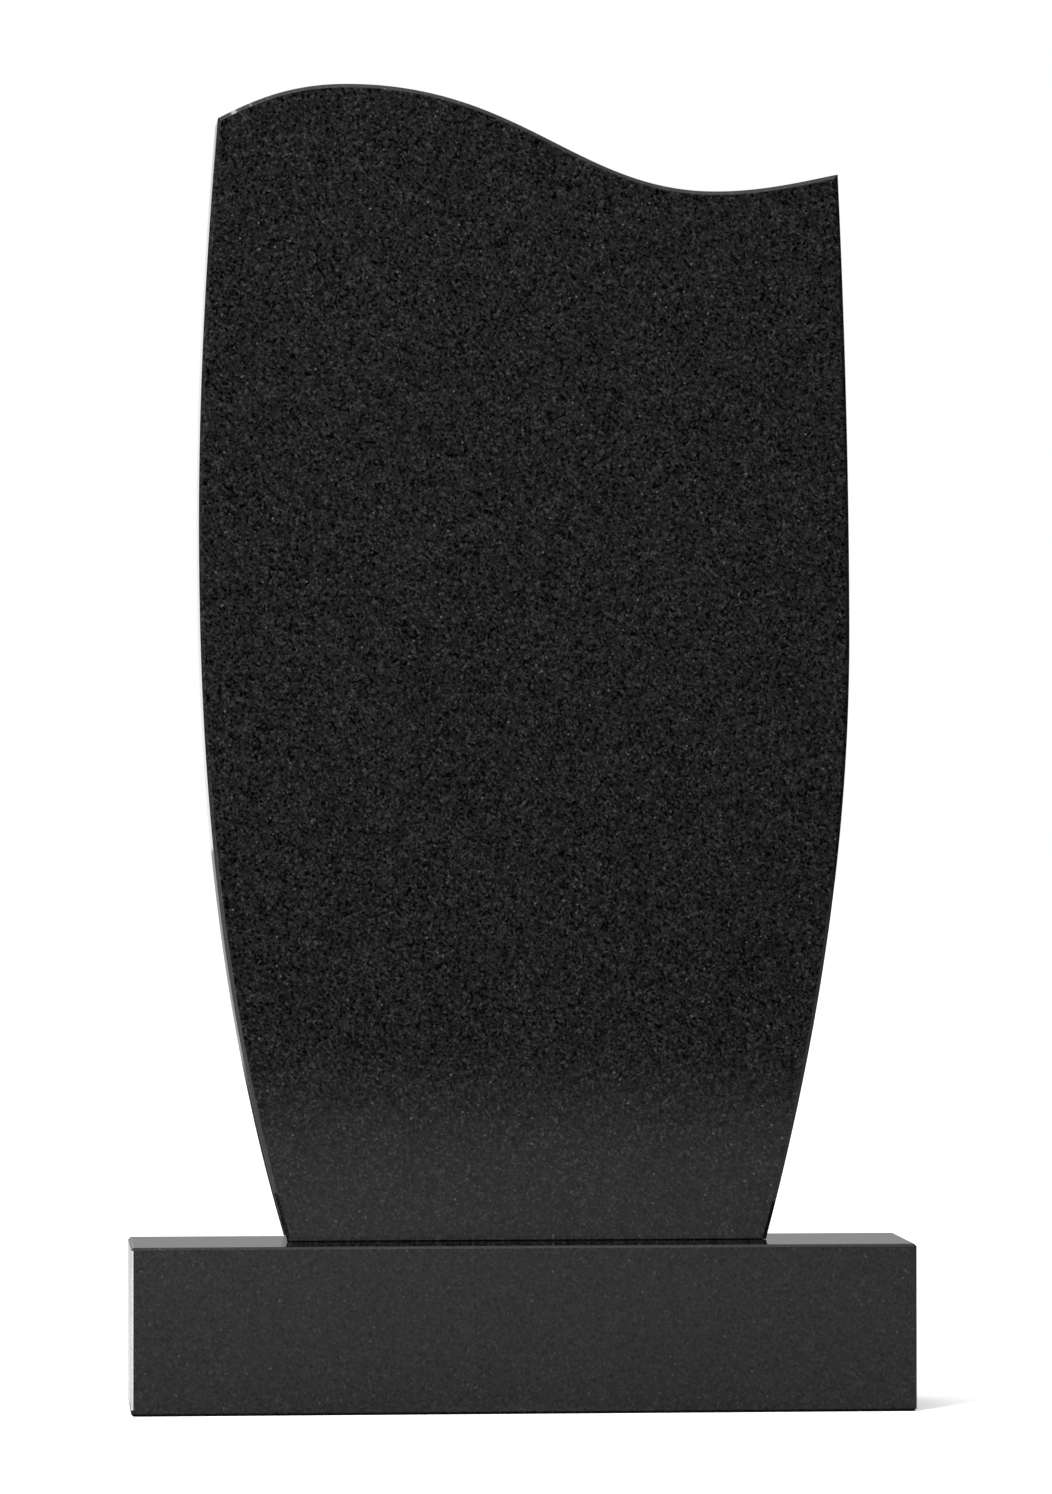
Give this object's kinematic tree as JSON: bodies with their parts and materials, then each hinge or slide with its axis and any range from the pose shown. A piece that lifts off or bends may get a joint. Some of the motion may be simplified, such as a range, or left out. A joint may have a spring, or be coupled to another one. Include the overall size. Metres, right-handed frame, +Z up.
{
  "type": "headstone",
  "caption": "Upright headstone of polished black granite: a blank stele with bowed sides and a wave top, standing towards the back of a low plinth.",
  "frame": {"origin": "middle of the plinth's underside, where it rests on the ground or footing", "axes": "+Z up, +X to the right as one faces the stone, +Y to the back: the polished front faces -Y"},
  "size_m": [0.6, 0.13, 1.0183],
  "materials": {
    "plinth_granite": "fine grained black granite, polished on the front, top and ends, sawn below and honed behind",
    "stele_granite": "fine grained black granite, polished on its face and edges, honed behind"
  },
  "bodies": {
    "root": {"plinth": "plinth_granite", "stele": "stele_granite"}
  },
  "joints": []
}
